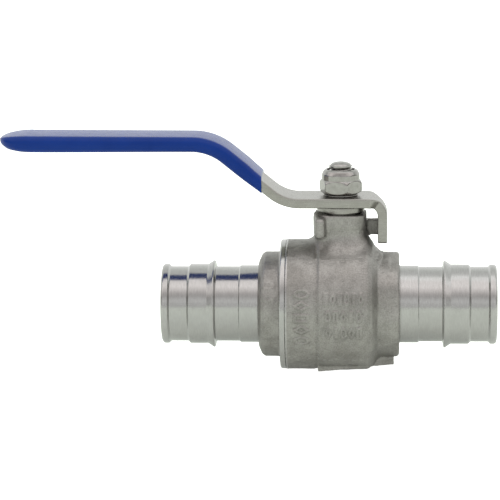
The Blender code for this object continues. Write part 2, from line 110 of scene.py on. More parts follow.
STRIP = 3.2
SETTLE = 0.3  # the CAD's gap between pieces that touch, closed under the lever and the nut
LEVER_Z, GRIP_Z = 36.5 - SETTLE, 56.08  # middle of the strip over the neck and in the grip
GRIP_RISE = 0.4
LEVER_HALF, TAB_HALF = span("lever")[1].y, 4.8
TIP_X = span("lever")[0].x
UPPER_BEND_X, UPPER_BEND_R = -43.6, 18.5
LOWER_BEND_X, LOWER_BEND_R = -19.1, 15.0
TAB_X, TAB_BEND_R = 14.2, 5.2
TAB_BOTTOM = span("lever")[0].z
SLEEVE_GAP, SLEEVE_GROW = 0.3, TIP_X - span("grip_sleeve")[0].x
SLEEVE_CUT_X = span("grip_sleeve")[1].x
LIP_TAPER = 0.3

NUT_HALF, NUT_TURN = 6.5, math.radians(17)
NUT_DROP = 1.5 * SETTLE  # how much lower the nut and its washer lie than in the CAD
NUT_HEX_TOP, NUT_COLLAR_R = 43.6 - SETTLE, 6.3
NUT_HOLE_R, INSERT_R = 4.25, 5.5


# ---- outlines and distances ------------------------------------------------------------------
def rounded(*corners, steps=5):
    """A closed outline from (u, v, radius) corners; a radius of 0 keeps the corner sharp."""
    outline = []
    for i, (u, v, radius) in enumerate(corners):
        here = np.array((u, v), float)
        before = np.array(corners[i - 1][:2], float) - here
        after = np.array(corners[(i + 1) % len(corners)][:2], float) - here
        if radius <= 0:
            outline.append(tuple(here))
            continue
        before_length, after_length = np.linalg.norm(before), np.linalg.norm(after)
        before, after = before / before_length, after / after_length
        half = math.acos(max(-1.0, min(1.0, float(before @ after)))) / 2
        reach = min(radius / math.tan(half), 0.48 * before_length, 0.48 * after_length)
        radius = reach * math.tan(half)
        middle = (before + after) / np.linalg.norm(before + after)
        centre = here + middle * radius / math.sin(half)
        first, last = here + before * reach - centre, here + after * reach - centre
        turn = math.atan2(first[0] * last[1] - first[1] * last[0], float(first @ last))
        for k in range(steps + 1):
            a = turn * k / steps
            outline.append((centre[0] + first[0] * math.cos(a) - first[1] * math.sin(a),
                            centre[1] + first[0] * math.sin(a) + first[1] * math.cos(a)))
    return outline


def divided(outline, longest):
    """The same closed outline with no side longer than `longest`."""
    points = []
    for a, b in zip(outline, outline[1:] + outline[:1]):
        count = max(1, math.ceil(math.dist(a, b) / longest))
        points += [(a[0] + (b[0] - a[0]) * k / count, a[1] + (b[1] - a[1]) * k / count)
                   for k in range(count)]
    return points


def outline_distance(outline, u, v):
    """Signed distance of points from a closed outline, negative inside."""
    nearest = np.full(u.shape, 1e9)
    inside = np.zeros(u.shape, bool)
    for (au, av), (bu, bv) in zip(outline, outline[1:] + outline[:1]):
        du, dv = bu - au, bv - av
        share = np.clip(((u - au) * du + (v - av) * dv) / max(du * du + dv * dv, 1e-12), 0, 1)
        nearest = np.minimum(nearest, (u - au - du * share) ** 2 + (v - av - dv * share) ** 2)
        if dv != 0:
            inside ^= ((av > v) != (bv > v)) & (u < du * (v - av) / dv + au)
    return np.where(inside, -1.0, 1.0) * np.sqrt(nearest)


def box_distance(points, low, high):
    """Signed distance of points from a box, negative inside."""
    low, high = np.array(low), np.array(high)
    outside = np.abs(points - (low + high) / 2) - (high - low) / 2
    return np.linalg.norm(np.maximum(outside, 0), axis=1) + np.minimum(outside.max(axis=1), 0)


def blend_union(a, b, width):
    """The union of two solids, with a fillet about `width` wide where they meet."""
    h = np.maximum(width - np.abs(a - b), 0) / width
    return np.minimum(a, b) - h * h * width / 4


def blend_common(a, b, width):
    """What two solids have in common, with its edge rounded."""
    return -blend_union(-a, -b, width)


def tipped(points, slope, pivot):
    """Points turned about Y round a pivot, so that a sloping face becomes level."""
    x, z = points[:, 0] - pivot[0], points[:, 2] - pivot[2]
    c, s = math.cos(slope), math.sin(slope)
    return np.column_stack((pivot[0] + c * x + s * z, points[:, 1], pivot[2] - s * x + c * z))


def noise(points, size, seed):
    """Smooth noise from -1 to 1, with lumps about `size` across."""
    lattice = np.random.default_rng(seed).uniform(-1, 1, (32, 32, 32))
    cell = points / size
    base = np.floor(cell).astype(int)
    part = cell - base
    part = part * part * (3 - 2 * part)
    total = np.zeros(len(points))
    for corner in np.ndindex(2, 2, 2):
        weight = np.prod(np.where(corner, part, 1 - part), axis=1)
        i = (base + corner) % 32
        total += weight * lattice[i[:, 0], i[:, 1], i[:, 2]]
    return total


def soft_step(value, low, high):
    """0 below `low`, 1 above `high` and a smooth rise between them."""
    share = np.clip((value - low) / (high - low), 0, 1)
    return share * share * (3 - 2 * share)


# ---- meshes ----------------------------------------------------------------------------------
def new_object(name, data):
    obj = bpy.data.objects.new(name, data)
    bpy.context.scene.collection.objects.link(obj)
    return obj


def piece(name, mesh, body, finishes, nodes, sharp=None):
    """A shown piece: it rides on a body, stands for CAD nodes and has its finishes."""
    obj = new_object(name, mesh)
    indices = finish_indices(mesh)  # clear() resets them
    mesh.materials.clear()
    for finish in finishes:
        mesh.materials.append(finish)
    mesh.polygons.foreach_set("material_index", np.minimum(indices, len(finishes) - 1))
    mesh.shade_smooth()
    if sharp:
        mesh.set_sharp_from_angle(angle=math.radians(sharp))
    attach(obj, body)
    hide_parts(*nodes)
    return obj


def finish_indices(mesh):
    indices = np.zeros(len(mesh.polygons), np.int32)
    mesh.polygons.foreach_get("material_index", indices)
    return indices


def closed_mesh(name, points, faces):
    """A closed mesh from points in millimetres, its doubles merged and its faces turned out."""
    mesh = bpy.data.meshes.new(name)
    mesh.from_pydata((np.asarray(points) * MM).tolist(), [], faces)
    bm = bmesh.new()
    bm.from_mesh(mesh)
    bmesh.ops.remove_doubles(bm, verts=bm.verts, dist=1e-7)
    bmesh.ops.recalc_face_normals(bm, faces=bm.faces)
    bm.to_mesh(mesh)
    bm.free()
    return mesh


def skin(name, rings, closed_skin):
    """Quads between closed rings of points; an open skin gets a face on each end."""
    rings = np.asarray(rings)
    count, size = rings.shape[:2]
    faces = []
    for i in range(count if closed_skin else count - 1):
        j = (i + 1) % count
        for k in range(size):
            m = (k + 1) % size
            faces.append((i * size + k, i * size + m, j * size + m, j * size + k))
    if not closed_skin:
        faces.append(tuple(range(size)))
        faces.append(tuple(range((count - 1) * size, count * size)))
    return closed_mesh(name, rings.reshape(-1, 3), faces)


def turned(name, outline, axis="X", steps=160, limit=None, sweep=None, rise=0.0):
    """Turn a closed outline of (radius, along) points about an axis.

    limit(angle, along) is the greatest radius there, such as a hexagon's.  sweep is the first
    and last angle of a ring that is cut open, and rise how much higher its last end lies.
    """
    radius, along = np.array(outline).T
    first, last = sweep or (0.0, 2 * math.pi)
    angles = np.linspace(first, last, steps, endpoint=sweep is not None)
    rings = []
    for k, angle in enumerate(angles):
        r = radius if limit is None else limit(angle, radius, along)
        a = along + rise * (k / (steps - 1) - 0.5)
        c, s = r * math.cos(angle), r * math.sin(angle)
        columns = (a, -c, s) if axis == "X" else (c, s, a)
        rings.append(np.column_stack(columns))
    return skin(name, rings, closed_skin=sweep is None)


def snapped(name, node, voxel, field, passes=4):
    """A fine even mesh over a CAD node, moved onto the surface where field(points) is 0."""
    source = new_object(name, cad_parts[node].data.copy())
    modifier = source.modifiers.new("even", "REMESH")
    modifier.mode = "VOXEL"
    modifier.voxel_size = voxel * MM
    bpy.context.view_layer.update()
    evaluated = source.evaluated_get(bpy.context.evaluated_depsgraph_get())
    mesh = bpy.data.meshes.new_from_object(evaluated)
    bpy.data.objects.remove(source, do_unlink=True)
    points = mesh_points(mesh)
    for _ in range(passes):
        value, slope = field_slope(field, points)
        step = np.clip(value / np.maximum((slope ** 2).sum(axis=1), 0.25), -0.4, 0.4)
        points -= slope * step[:, None]
    set_points(mesh, points)
    return mesh


def field_slope(field, points, reach=0.02):
    value = field(points)
    slope = np.empty_like(points)
    for i in range(3):
        moved = points.copy()
        moved[:, i] += reach
        slope[:, i] = (field(moved) - value) / reach
    return value, slope


def triples(items, attribute):
    """An (n, 3) array of one attribute of a mesh's vertices or faces."""
    values = np.empty(len(items) * 3)
    items.foreach_get(attribute, values)
    return values.reshape(-1, 3)


def mesh_points(mesh):
    return triples(mesh.vertices, "co") / MM


def set_points(mesh, points):
    mesh.vertices.foreach_set("co", (points * MM).ravel())
    mesh.update()


def cast_skin(mesh, mask, marks):
    """The uneven skin of a casting, pressed inwards where mask(points), and raised marks."""
    points, normals = mesh_points(mesh), triples(mesh.vertex_normals, "vector")
    lumps = 0.045 * (noise(points, 2.6, 1) - 1) + 0.026 * (noise(points, 0.9, 2) - 1)
    pits = -0.10 * soft_step(noise(points, 1.3, 3), 0.55, 0.85)
    height = (lumps + pits) * mask(points) + marks(points)
    set_points(mesh, points + normals * height[:, None])


def paint(mesh, index, chosen):
    """Give the faces whose centres are chosen(points) another of the piece's finishes."""
    mask = chosen(triples(mesh.polygons, "center") / MM)
    indices = finish_indices(mesh)
    indices[mask] = index
    mesh.polygons.foreach_set("material_index", indices)
    mesh.update()


# ---- materials -------------------------------------------------------------------------------
def set_stops(elements, stops):
    """Set a colour ramp's elements to stops of (position, grey or colour)."""
    while len(elements) < len(stops):
        elements.new(0.5)
    for element, (position, colour) in zip(elements, stops):
        element.position = position
        colour = (colour,) * 3 if isinstance(colour, (int, float)) else colour
        element.color = (*colour, 1.0)


class Finish:
    """A small helper that builds one node material."""

    def __init__(self, name, metallic, anisotropic=0.0, around=None):
        self.material = bpy.data.materials.new(name)
        self.material.use_nodes = True
        self.tree = self.material.node_tree
        self.shader = self.tree.nodes["Principled BSDF"]
        self.shader.inputs["Metallic"].default_value = metallic
        self.shader.inputs["Anisotropic"].default_value = anisotropic
        self.place = self.node("ShaderNodeTexCoord").outputs["Object"]
        if around:
            tangent = self.node("ShaderNodeTangent")
            tangent.direction_type = "RADIAL"
            tangent.axis = around
            self.link(tangent.outputs["Tangent"], self.shader.inputs["Tangent"])

    def node(self, kind, **values):
        node = self.tree.nodes.new(kind)
        for key, value in values.items():
            node.inputs[key].default_value = value
        return node

    def link(self, source, target):
        self.tree.links.new(source, target)

    def stretched(self, scale):
        """The object's coordinates, scaled along each axis."""
        mapping = self.node("ShaderNodeMapping", Scale=scale)
        self.link(self.place, mapping.inputs["Vector"])
        return mapping.outputs["Vector"]

    def noise(self, size, detail=3.0, roughness=0.55, stretch=(1, 1, 1)):
        """Noise with lumps about `size` millimetres across, larger where it is stretched."""
        place = self.stretched(tuple(1 / s for s in stretch))
        node = self.node("ShaderNodeTexNoise", Scale=1 / (size * MM), Detail=detail,
                         Roughness=roughness)
        self.link(place, node.inputs["Vector"])
        return node.outputs["Fac"]

    def spots(self, size):
        node = self.node("ShaderNodeTexVoronoi", Scale=1 / (size * MM))
        self.link(self.place, node.inputs["Vector"])
        return node.outputs["Distance"]

    def rings(self, pitch):
        """Turning marks: bands along the pipe axis, `pitch` millimetres apart."""
        own_pitch = 0.314  # of the node at scale 1
        node = self.node("ShaderNodeTexWave", Scale=own_pitch / (pitch * MM), Distortion=1.0,
                         Detail=2.0)
        node.bands_direction = "X"
        self.link(self.place, node.inputs["Vector"])
        return node.outputs["Fac"]

    def ramp(self, value, stops):
        """A colour ramp; each stop is (position, grey or colour)."""
        node = self.node("ShaderNodeValToRGB")
        set_stops(node.color_ramp.elements, stops)
        self.link(value, node.inputs["Fac"])
        return node.outputs["Color"]

    def range(self, value, low, high, start=0.3, end=0.7):
        node = self.node("ShaderNodeMapRange")
        for key, number in (("From Min", start), ("From Max", end), ("To Min", low),
                            ("To Max", high)):
            node.inputs[key].default_value = number
        self.link(value, node.inputs["Value"])
        return node.outputs["Result"]

    def mix(self, share, first, second, how="MIX"):
        node = self.node("ShaderNodeMix")
        node.data_type = "RGBA"
        node.blend_type = how
        for value, socket in ((share, node.inputs[0]), (first, node.inputs[6]),
                              (second, node.inputs[7])):
            if isinstance(value, bpy.types.NodeSocket):
                self.link(value, socket)
            elif isinstance(value, tuple):
                socket.default_value = (*value, 1.0)
            else:
                socket.default_value = value
        return node.outputs[2]

    def sum(self, first, second, share=1.0):
        node = self.node("ShaderNodeMath")
        node.operation = "MULTIPLY_ADD"
        self.link(second, node.inputs[0])
        node.inputs[1].default_value = share
        self.link(first, node.inputs[2])
        return node.outputs[0]

    def edges(self):
        """About 0.5 on flat skin, more on worn edges and less in corners."""
        return self.node("ShaderNodeNewGeometry").outputs["Pointiness"]

    def colour(self, value):
        self.link(value, self.shader.inputs["Base Color"])

    def roughness(self, value):
        self.link(value, self.shader.inputs["Roughness"])

    def bump(self, height, depth):
        """Relief about `depth` millimetres deep."""
        node = self.node("ShaderNodeBump", Strength=1.0, Distance=depth * MM)
        self.link(height, node.inputs["Height"])
        self.link(node.outputs["Normal"], self.shader.inputs["Normal"])


def cast_steel():
    """Investment-cast stainless steel, blasted: mottled, with a fine grain."""
    f = Finish("cast_steel", metallic=1.0)
    mottle = f.ramp(f.noise(5.0, 4.0, 0.6), [(0.3, (0.315, 0.306, 0.287)),
                                             (0.7, (0.445, 0.434, 0.410))])
    grain = f.ramp(f.noise(0.45, 3.0, 0.7), [(0.25, 0.58), (0.75, 1.15)])
    tint = f.mix(0.85, mottle, grain, "MULTIPLY")
    stain = f.range(f.noise(11.0, 3.0), 0.0, 0.35, 0.50, 0.68)
    tint = f.mix(stain, tint, (0.215, 0.205, 0.185))
    worn = f.range(f.edges(), 0.0, 0.5, 0.54, 0.64)
    tint = f.mix(worn, tint, (0.50, 0.49, 0.47))
    # Painted shade: where the pointiness is low, in corners, creases and round the raised marks,
    # the colour goes towards near-black (0.12).
    f.colour(f.mix(f.range(f.edges(), 0.75, 0.0, 0.43, 0.492), tint, (0.12, 0.115, 0.105)))
    f.roughness(f.range(f.noise(0.8, 3.0), 0.40, 0.56))
    relief = f.sum(f.noise(0.32, 4.0, 0.7), f.noise(1.1, 2.0), 0.8)
    f.bump(relief, 0.055)
    return f.material


def turned_steel():
    """Stainless steel from the lathe: fine rings round the pipe axis."""
    f = Finish("turned_steel", metallic=1.0, anisotropic=0.35, around="X")
    tone = f.ramp(f.noise(0.9, 3.0, 0.6, stretch=(0.35, 2.0, 2.0)),
                  [(0.3, (0.415, 0.412, 0.40)), (0.7, (0.475, 0.472, 0.46))])
    stain = f.range(f.noise(7.0, 3.0), 0.0, 0.25, 0.48, 0.70)
    f.colour(f.mix(stain, tone, (0.37, 0.365, 0.345)))
    f.roughness(f.range(f.noise(0.5, 3.0, 0.6, stretch=(0.3, 2.5, 2.5)), 0.13, 0.24))
    marks = f.sum(f.rings(0.22), f.noise(0.25, 2.0, 0.5, stretch=(0.4, 6.0, 6.0)), 0.9)
    f.bump(marks, 0.0045)
    return f.material


def faced_steel():
    """Machined end faces and bores, with fine marks round the pipe axis."""
    f = Finish("faced_steel", metallic=1.0)
    f.colour(f.ramp(f.noise(1.5, 3.0), [(0.3, (0.38, 0.375, 0.365)), (0.7, (0.45, 0.445, 0.43))]))
    f.roughness(f.range(f.noise(0.5, 2.0), 0.18, 0.30))
    f.bump(f.sum(f.rings(0.18), f.noise(0.3), 0.5), 0.006)
    return f.material


def strip_steel():
    """Cold-rolled stainless strip, tumbled: fine lines along the lever."""
    f = Finish("strip_steel", metallic=1.0)
    tone = f.ramp(f.noise(0.35, 3.0, 0.6, stretch=(12, 1, 1)),
                  [(0.3, (0.305, 0.298, 0.275)), (0.7, (0.375, 0.367, 0.343))])
    stain = f.range(f.noise(4.0, 3.0), 0.0, 0.4, 0.45, 0.7)
    tone = f.mix(stain, tone, (0.285, 0.275, 0.245))
    worn = f.range(f.edges(), 0.0, 0.5, 0.52, 0.62)
    f.colour(f.mix(worn, tone, (0.52, 0.51, 0.50)))
    f.roughness(f.range(f.noise(0.9, 3.0), 0.24, 0.38))
    f.bump(f.sum(f.noise(0.2, 3.0, 0.6, stretch=(14, 1, 1)), f.noise(0.8, 2.0), 0.6), 0.014)
    return f.material


def fastener_steel():
    """Bright rolled and barrel-finished steel of the stem and the nut."""
    f = Finish("fastener_steel", metallic=1.0)
    tone = f.ramp(f.noise(1.2, 3.0), [(0.3, (0.31, 0.30, 0.285)), (0.7, (0.40, 0.39, 0.375))])
    # Painted shade and painted reflection: near-black where the pointiness is low, in corners and
    # creases, standing in for dark reflections and shade.
    f.colour(f.mix(f.range(f.edges(), 0.9, 0.0, 0.44, 0.496), tone, (0.04, 0.036, 0.032)))
    f.roughness(f.range(f.noise(0.6, 3.0), 0.08, 0.18))
    f.bump(f.sum(f.noise(0.5, 3.0), f.noise(0.12, 2.0), 0.4), 0.012)
    return f.material


def blue_vinyl():
    """Dipped vinyl: glossy, with slight waves from dipping and fine dust specks."""
    f = Finish("blue_vinyl", metallic=0.0)
    f.shader.inputs["IOR"].default_value = 1.24
    tone = f.ramp(f.noise(9.0, 3.0), [(0.3, (0.003, 0.029, 0.200)), (0.7, (0.005, 0.036, 0.235))])
    specks = f.range(f.spots(2.3), 0.3, 0.0, 0.04, 0.10)
    f.colour(f.mix(specks, tone, (0.02, 0.06, 0.29)))
    f.roughness(f.range(f.noise(2.0, 3.0), 0.17, 0.24))
    f.bump(f.sum(f.noise(5.0, 2.0), f.noise(0.8, 2.0), 0.06), 0.05)
    return f.material


def plain_seal(name, light, dark, roughness, grain):
    """PTFE, nylon and rubber: an even tone with a fine grain and faint rings."""
    f = Finish(name, metallic=0.0)
    f.colour(f.ramp(f.noise(1.5, 3.0), [(0.3, dark), (0.7, light)]))
    f.roughness(f.range(f.noise(0.8, 3.0), roughness - 0.07, roughness + 0.07))
    f.bump(f.sum(f.noise(grain, 3.0), f.rings(0.3), 0.3), 0.012)
    return f.material


CAST = cast_steel()
TURNED = turned_steel()
FACED = faced_steel()
STRIP_STEEL = strip_steel()
FASTENER = fastener_steel()
VINYL = blue_vinyl()
PTFE = plain_seal("ptfe", (0.86, 0.86, 0.84), (0.80, 0.80, 0.77), 0.42, 0.6)
NYLON = plain_seal("nylon", (0.72, 0.72, 0.68), (0.64, 0.64, 0.59), 0.40, 0.8)
RUBBER = plain_seal("seal_rubber", (0.024, 0.024, 0.025), (0.015, 0.015, 0.015), 0.50, 0.4)


# ---- body ------------------------------------------------------------------------------------
BARREL_OUTLINE = rounded(
    (0, BODY_LOW.x, 0), (BARREL_R - 0.2, BODY_LOW.x, 0.05), (BARREL_R, BODY_LOW.x + 0.3, 0.1),
    (BARREL_R, BAND_LEFT - 1.4, 0.8), (BARREL_R - GROOVE, BAND_LEFT - 0.5, 0.7),
    (BAND_R, BAND_LEFT + 0.6, 0.7), (BAND_R, BAND_RIGHT - 0.1, 1.1),
    (BAND_R - 1.4, BAND_RIGHT + 1.6, 1.6), (HUB_R - 0.5, BAND_RIGHT + 4.0, 3.2),
    (HUB_R - 0.8, BAND_RIGHT + 7.4, 0), (0, BAND_RIGHT + 7.4, 0))
HUB_OUTLINE = rounded((0, 8, 0), (HUB_R, 8, 0), (HUB_R, HUB_RIGHT, 1.3), (0, HUB_RIGHT, 0))
BORE_OUTLINE = [
    (-1, BODY_LOW.x - 1), (THREAD_BORE_R, BODY_LOW.x - 1), (THREAD_BORE_R, THREAD_BORE_END),
    (CAVITY_R, THREAD_BORE_END), (CAVITY_R, 5.0), (SEAT_POCKET_R, 10.2),
    (SEAT_POCKET_R, SEAT_POCKET), (PASSAGE_R, SEAT_POCKET), (PASSAGE_R, HUB_RIGHT - OUTLET_SOCKET),
    (SOCKET_R, HUB_RIGHT - OUTLET_SOCKET), (SOCKET_R, HUB_RIGHT + 1), (-1, HUB_RIGHT + 1)]
STEM_BORE_OUTLINE = [
    (-1, 8.0), (POCKET_R, 8.0), (POCKET_R, POCKET_TOP), (NECK_BORE_R, POCKET_TOP),
    (NECK_BORE_R, CHAMBER_BOTTOM), (CHAMBER_R, CHAMBER_BOTTOM), (CHAMBER_R, NECK_TOP + 1),
    (-1, NECK_TOP + 1)]


def hub_flats(points):
    """Greatest distance past any of the six wrench flats."""
    turns = HUB_FLAT_TURN + np.arange(6) * math.pi / 3
    return np.max([-points[:, 1] * math.cos(t) + points[:, 2] * math.sin(t) - HUB_FLAT
                   for t in turns], axis=0)


def neck_distance(points):
    """A rounded square column, a little slimmer under its head, and the apron in front of it."""
    half = NECK_HALF - 0.35 * (1 - soft_step(points[:, 2], 26.0, 28.4))
    across = np.abs(points[:, :2]) - (half - NECK_CORNER_R)[:, None]
    side = (np.linalg.norm(np.maximum(across, 0), axis=1) + np.minimum(across.max(axis=1), 0)
            - NECK_CORNER_R)
    column = blend_common(side, points[:, 2] - NECK_TOP, 0.5)
    column = np.maximum(column, NECK_ROOT - points[:, 2])
    drop = np.clip(APRON_TOP - points[:, 2], 0, 0.93 * APRON_R)
    flare = APRON_R - np.sqrt(APRON_R ** 2 - drop ** 2)
    apron = np.maximum((side - flare) * 0.75, APRON_LOW - 3 - points[:, 2])
    apron = np.maximum(apron, points[:, 2] - APRON_TOP)
    return column, apron


def body_distance(points):
    """The casting with its machined bores."""
    pipe_radius = np.hypot(points[:, 1], points[:, 2])
    stem_radius = np.hypot(points[:, 0], points[:, 1])
    hub = blend_common(outline_distance(HUB_OUTLINE, pipe_radius, points[:, 0]),
                       hub_flats(points), 0.7)
    solid = blend_union(outline_distance(BARREL_OUTLINE, pipe_radius, points[:, 0]), hub, 0.8)
    pivot = (PAD_LEFT, 0, PAD_NARROW[0][2])
    grinding = -(tipped(points, PAD_SLOPE, pivot)[:, 2] - PAD_NARROW[0][2])
    solid = blend_common(solid, grinding, 0.3)
    for low, high in (PAD_WIDE, PAD_NARROW):
        pad = box_distance(tipped(points, PAD_SLOPE, (PAD_LEFT, 0, low[2])), low, high)
        solid = blend_union(solid, pad, 0.5)
    column, apron = neck_distance(points)
    solid = blend_union(blend_union(solid, column, NECK_BLEND), apron, 0.35)
    for (low, high), edge, blend in ((OPEN_STOP, 0.7, 1.4), (CLOSED_STOP, 1.3, 2.6)):
        lug = box_distance(points, np.array(low) + edge, np.array(high) - edge) - edge
        solid = blend_union(solid, lug, blend)
    solid = blend_common(solid, -outline_distance(BORE_OUTLINE, pipe_radius, points[:, 0]), 0.25)
    return blend_common(solid, -outline_distance(STEM_BORE_OUTLINE, stem_radius, points[:, 2]), 0.2)


def mark_inside(across, along, kind, half, wide):
    """How far inside the line of a plain sign the point lies, in millimetres."""
    line = 0.40
    across, along = np.abs(across), np.abs(along)
    if kind == "ring":
        return line - np.abs(np.hypot(across * half / wide, along) - half + line) * 0.75
    if kind == "diamond":
        return line - np.abs(across * half / wide + along - half + line) * 0.55
    if kind == "frame":
        return line - np.abs(np.maximum(across - wide, along - half) + line)
    return np.minimum(1.4 * line - across, half - along)


def mark_row(across, along, start, step, half, wide, kinds):
    """A row of plain raised signs, as deep inside their lines as the nearest is."""
    best = np.full(across.shape, -9.0)
    for i, kind in enumerate(kinds):
        best = np.maximum(best, mark_inside(across - start - i * step, along, kind, half, wide))
    return best


BAND_ROWS = (  # middle along the arc, first place, step, half height, half width, signs
    (6.2, -4.7, 2.35, 2.2, 0.85, ("frame", "diamond", "frame", "ring", "bar", "diamond")),
    (0.3, -4.0, 2.6, 2.0, 0.95, ("ring", "frame", "diamond", "bar", "ring")),
    (-5.6, -3.9, 2.6, 2.2, 0.95, ("diamond", "bar", "ring", "diamond", "frame")))


def body_marks(points):
    """Plain raised signs where the casting is marked: three rows and one upright row."""
    arc_length = np.arctan2(points[:, 2], -points[:, 1]) * BAND_R
    inside = np.full(len(points), -9.0)
    for middle, start, step, half, wide, kinds in BAND_ROWS:
        row = mark_row(points[:, 0], arc_length - middle, start, step, half, wide, kinds)
        inside = np.maximum(inside, row)
    upright = mark_row(arc_length, points[:, 0] + 12.9, -8.8, 4.2, 2.6, 1.5,
                       ("ring", "diamond", "frame", "diamond", "ring"))
    inside = np.maximum(inside, upright)
    outer = np.hypot(points[:, 1], points[:, 2]) > BARREL_R - 0.5
    return 0.35 * soft_step(inside, -0.12, 0.14) * outer


def machined_faces(points):
    """The machined parts of the body: the bores and the face against the end cap."""
    pipe_radius = np.hypot(points[:, 1], points[:, 2])
    stem_radius = np.hypot(points[:, 0], points[:, 1])
    return ((pipe_radius < THREAD_BORE_R + 0.1) & (points[:, 0] < 8)
            | (pipe_radius < SOCKET_R + 0.2) & (points[:, 0] < HUB_RIGHT + 1)
            | (points[:, 0] < RIM_RIGHT)
            | (stem_radius < CHAMBER_R + 0.1) & (points[:, 2] > 10))


def make_body():
    mesh = snapped("valve_body", "body", 0.26, body_distance)
    cast_skin(mesh, mask=lambda points: ~machined_faces(points), marks=body_marks)
    paint(mesh, 1, machined_faces)
    piece("valve_body", mesh, "valve", (CAST, FACED), ["body"])


def make_end_cap():
    left, right = CAP_LOW.x, CAP_HIGH.x
    outline = rounded(
        (SOCKET_R, left, 0.3), (14.8, left, 0.8), (HUB_R - 0.8, left + 1.1, 1.5),
        (HUB_R, left + 2.3, 1.2), (HUB_R, RING_LEFT - 0.7, 0.4), (HUB_R + 0.5, RING_LEFT, 0.3),
        (RING_R, RING_LEFT, 0.7), (RING_R, RING_RIGHT, 0.1), (SPIGOT_R, RING_RIGHT, 0.2),
        (SPIGOT_R, right, 0.3), (SEAT_POCKET_R, right, 0.2), (SEAT_POCKET_R, -SEAT_POCKET, 0.1),
        (PASSAGE_R, -SEAT_POCKET, 0.2), (PASSAGE_R, left + INLET_SOCKET, 0.2),
        (SOCKET_R, left + INLET_SOCKET, 0.1), steps=7)
    mesh = turned("end_cap_casting", divided(outline, 0.5), steps=300)

    def machined(points):
        radius = np.hypot(points[:, 1], points[:, 2])
        return (radius > HUB_R + 0.35) | (points[:, 0] > RING_LEFT) | (radius < SOCKET_R + 0.3)

    def mark(points):
        along = points[:, 0] - (left + RING_LEFT) / 2
        arc_length = np.arctan2(points[:, 2], -points[:, 1]) * HUB_R
        inside = mark_row(arc_length, along, 5.6, 4.2, 2.2, 1.4, ("diamond", "ring"))
        return 0.12 * soft_step(inside, -0.12, 0.22) * (np.hypot(*points[:, 1:].T) > HUB_R - 0.4)

    cast_skin(mesh, mask=lambda points: ~machined(points), marks=mark)
    paint(mesh, 1, machined)
    piece("end_cap_casting", mesh, "valve", (CAST, TURNED), ["end_cap"], sharp=50)


# ---- nipples ---------------------------------------------------------------------------------
def nipple_outline(socket, length):
    """(radius, distance from the shoulder) round one barbed nipple."""
    return rounded(
        (PASSAGE_R, -socket, 0.2), (NIPPLE_SHANK_R, -socket, 0.3), (NIPPLE_SHANK_R, 6.2, 0.25),
        (NIPPLE_PLAIN_R, 6.65, 0.2), (NIPPLE_PLAIN_R, 14.5, 0.25),
        (NIPPLE_PEAK_R - 0.2, 14.95, 0.25), (NIPPLE_PEAK_R, 15.35, 0.25),
        (NIPPLE_LAND_R, 17.4, 0.8), (NIPPLE_LAND_R, 23.45, 0.3), (NIPPLE_PLAIN_R, 24.2, 0.3),
        (NIPPLE_PLAIN_R, 30.05, 0.2), (NIPPLE_LAND_R, 30.75, 0.35), (NIPPLE_LAND_R, length, 1.5),
        (PASSAGE_R + 0.7, length, 0.3), (PASSAGE_R, length - 0.9, 0.4))


def make_nipples():
    for node, side, socket in (("inlet_barb", -1, INLET_SOCKET), ("outlet_barb", 1, OUTLET_SOCKET)):
        low, high = span(node)
        shoulder = CAP_LOW.x if side < 0 else HUB_RIGHT
        length = abs((low.x if side < 0 else high.x) - shoulder)
        outline = [(radius, shoulder + side * along)
                   for radius, along in nipple_outline(socket - 0.3, length)]
        mesh = turned(node.replace("barb", "nipple"), outline, steps=192)
        piece(mesh.name, mesh, "valve", (TURNED,), [node])


# ---- ball, seats and seals -------------------------------------------------------------------
def ball_distance(points):
    solid = np.linalg.norm(points, axis=1) - BALL_R
    solid = blend_common(solid, BALL_BORE_R - np.hypot(points[:, 1], points[:, 2]), 0.5)
    slot = box_distance(points, (-SLOT_HALF, -20, SLOT_BOTTOM), (SLOT_HALF, 20, 20))
    solid = blend_common(solid, -slot, 0.4)
    vent = np.maximum(np.hypot(points[:, 0], points[:, 1]) - VENT_R, 5 - points[:, 2])
    return blend_common(solid, -vent, 0.2)


def make_ball():
    mesh = snapped("bored_ball", "ball", 0.4, ball_distance)
    piece("bored_ball", mesh, "ball", (FASTENER,), ["ball"])


def make_seats():
    start, end = math.asin(SEAT_INNER_R / SEAT_FACE_R), math.asin(0.92 * SEAT_OUTER_R / SEAT_FACE_R)
    face = [(SEAT_FACE_R * math.sin(a), SEAT_FACE_R * math.cos(a)) for a in
            np.linspace(start, end, 9)]
    for node, side in (("inlet_seat", -1), ("outlet_seat", 1)):
        low, high = span(node)
        back = max(abs(low.x), abs(high.x))
        front = min(abs(low.x), abs(high.x))
        outline = rounded((SEAT_INNER_R, back, 0.2), *[(r, a, 0) for r, a in face],
                          (SEAT_OUTER_R, max(front, face[-1][1]), 0.2), (SEAT_OUTER_R, back, 0.25))
        mesh = turned(node.replace("seat", "seat_ring"), [(r, side * a) for r, a in outline],
                      steps=128)
        piece(mesh.name, mesh, "valve", (PTFE,), [node])


def make_rings():
    """The plain rings: each has the size of its CAD node."""
    gap = 0.3
    for node, name, inner, axis, body, slot_name, finish in (
            ("body_gasket", "body_gasket_ring", CAVITY_R + 0.25, 0, "valve", "ptfe", PTFE),
            ("thrust_washer", "thrust_ring", SHAFT_R + gap, 2, "valve", "ptfe", PTFE),
            *[(f"packing_ring_{place}", f"packing_{place}", SHAFT_R + gap, 2, "valve", "ptfe", PTFE)
              for place in ("lower", "middle", "upper")],
            ("nut_insert", "nut_locking_insert", NUT_HOLE_R, 2, "handle", "nylon", NYLON)):
        low, high = span(node)
        outer, edge = high.y, 0.18
        outline = rounded((inner, low[axis], edge), (outer, low[axis], edge),
                          (outer, high[axis], edge), (inner, high[axis], edge), steps=4)
        mesh = turned(name, outline, axis="XYZ"[axis], steps=128)
        piece(name, mesh, body, (finish,), [node])


